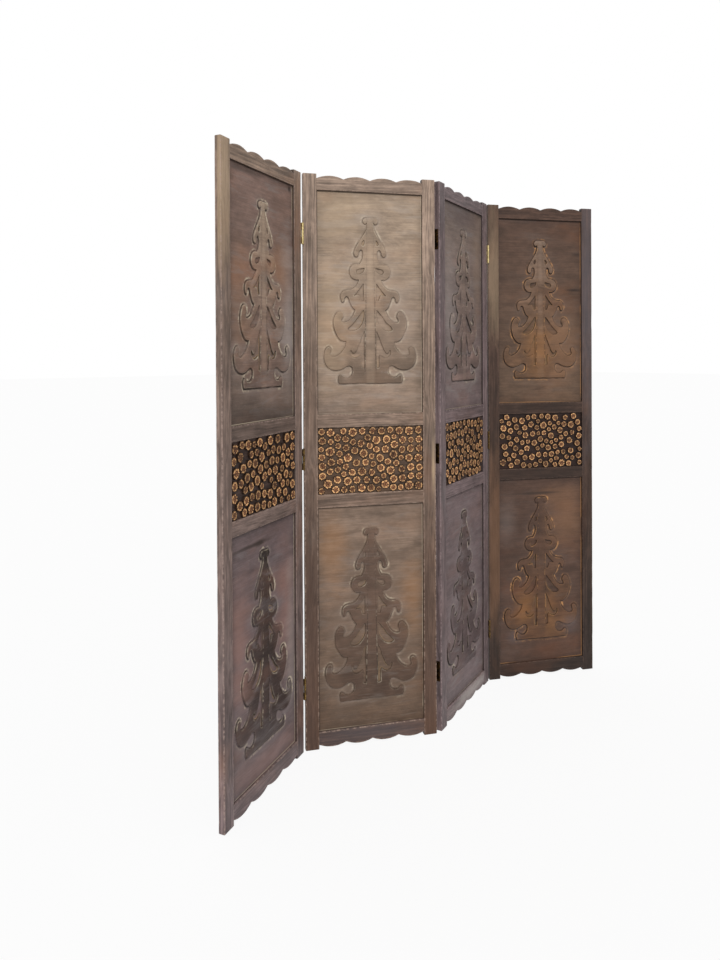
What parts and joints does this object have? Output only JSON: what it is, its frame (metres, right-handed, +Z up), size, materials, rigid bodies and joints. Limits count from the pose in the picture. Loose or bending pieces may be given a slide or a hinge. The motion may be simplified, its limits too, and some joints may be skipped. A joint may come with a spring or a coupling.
{
  "type": "folding screen",
  "caption": "Folding wooden room divider with relief-carved scroll-tree boards, bands of branch slices, scalloped rails and brass butt hinges.",
  "frame": {"origin": "on the floor, at the middle of the standing zigzag's bounding box", "axes": "+X along the row of leaves from leaf 1 to leaf 4, -Y towards the carved faces, +Z up"},
  "size_m": [1.5296, 0.2112, 1.7],
  "materials": {
    "frame_wood_1": "weathered wax, matt",
    "carved_wood_1": "weathered wax, matt",
    "backing_wood_1": "dark stain, matt",
    "branch_wood_1": "sawn end grain with bark",
    "frame_wood_2": "weathered wax, matt",
    "carved_wood_2": "weathered wax, matt",
    "backing_wood_2": "dark stain, matt",
    "branch_wood_2": "sawn end grain with bark",
    "frame_wood_3": "weathered wax, matt",
    "carved_wood_3": "weathered wax, matt",
    "backing_wood_3": "dark stain, matt",
    "branch_wood_3": "sawn end grain with bark",
    "frame_wood_4": "weathered wax, matt",
    "carved_wood_4": "weathered wax, matt",
    "backing_wood_4": "dark stain, matt",
    "branch_wood_4": "sawn end grain with bark",
    "hinge_brass": "worn satin brass"
  },
  "bodies": {
    "leaf_1": {"leaf_1_left_stile": "frame_wood_1", "leaf_1_right_stile": "frame_wood_1", "leaf_1_top_rail": "frame_wood_1", "leaf_1_upper_middle_rail": "frame_wood_1", "leaf_1_lower_middle_rail": "frame_wood_1", "leaf_1_bottom_rail": "frame_wood_1", "leaf_1_upper_carved_board": "carved_wood_1", "leaf_1_lower_carved_board": "carved_wood_1", "leaf_1_backing_board": "backing_wood_1", "leaf_1_branch_slices": "branch_wood_1", "hinge_12_left_plates": "hinge_brass", "hinge_12_pins": "hinge_brass"},
    "leaf_2": {"leaf_2_left_stile": "frame_wood_2", "leaf_2_right_stile": "frame_wood_2", "leaf_2_top_rail": "frame_wood_2", "leaf_2_upper_middle_rail": "frame_wood_2", "leaf_2_lower_middle_rail": "frame_wood_2", "leaf_2_bottom_rail": "frame_wood_2", "leaf_2_upper_carved_board": "carved_wood_2", "leaf_2_lower_carved_board": "carved_wood_2", "leaf_2_backing_board": "backing_wood_2", "leaf_2_branch_slices": "branch_wood_2", "hinge_12_right_plates": "hinge_brass", "hinge_23_left_plates": "hinge_brass", "hinge_23_pins": "hinge_brass"},
    "leaf_3": {"leaf_3_left_stile": "frame_wood_3", "leaf_3_right_stile": "frame_wood_3", "leaf_3_top_rail": "frame_wood_3", "leaf_3_upper_middle_rail": "frame_wood_3", "leaf_3_lower_middle_rail": "frame_wood_3", "leaf_3_bottom_rail": "frame_wood_3", "leaf_3_upper_carved_board": "carved_wood_3", "leaf_3_lower_carved_board": "carved_wood_3", "leaf_3_backing_board": "backing_wood_3", "leaf_3_branch_slices": "branch_wood_3", "hinge_23_right_plates": "hinge_brass", "hinge_34_left_plates": "hinge_brass", "hinge_34_pins": "hinge_brass"},
    "leaf_4": {"leaf_4_left_stile": "frame_wood_4", "leaf_4_right_stile": "frame_wood_4", "leaf_4_top_rail": "frame_wood_4", "leaf_4_upper_middle_rail": "frame_wood_4", "leaf_4_lower_middle_rail": "frame_wood_4", "leaf_4_bottom_rail": "frame_wood_4", "leaf_4_upper_carved_board": "carved_wood_4", "leaf_4_lower_carved_board": "carved_wood_4", "leaf_4_backing_board": "backing_wood_4", "leaf_4_branch_slices": "branch_wood_4", "hinge_34_right_plates": "hinge_brass"}
  },
  "joints": [
    {"name": "fold_12", "type": "hinge", "parent": "leaf_2", "child": "leaf_1", "pos_m": [-0.39306, 0.08673, 0], "axis": [0, 0, 1], "range_deg": [-52.4, 127.6]},
    {"name": "fold_23", "type": "hinge", "parent": "leaf_2", "child": "leaf_3", "pos_m": [-0.00757, -0.05981, 0], "axis": [0, 0, 1], "range_deg": [-45.7, 134.3]},
    {"name": "fold_34", "type": "hinge", "parent": "leaf_3", "child": "leaf_4", "pos_m": [0.38529, 0.06567, 0], "axis": [0, 0, 1], "range_deg": [-133.4, 46.6]}
  ]
}
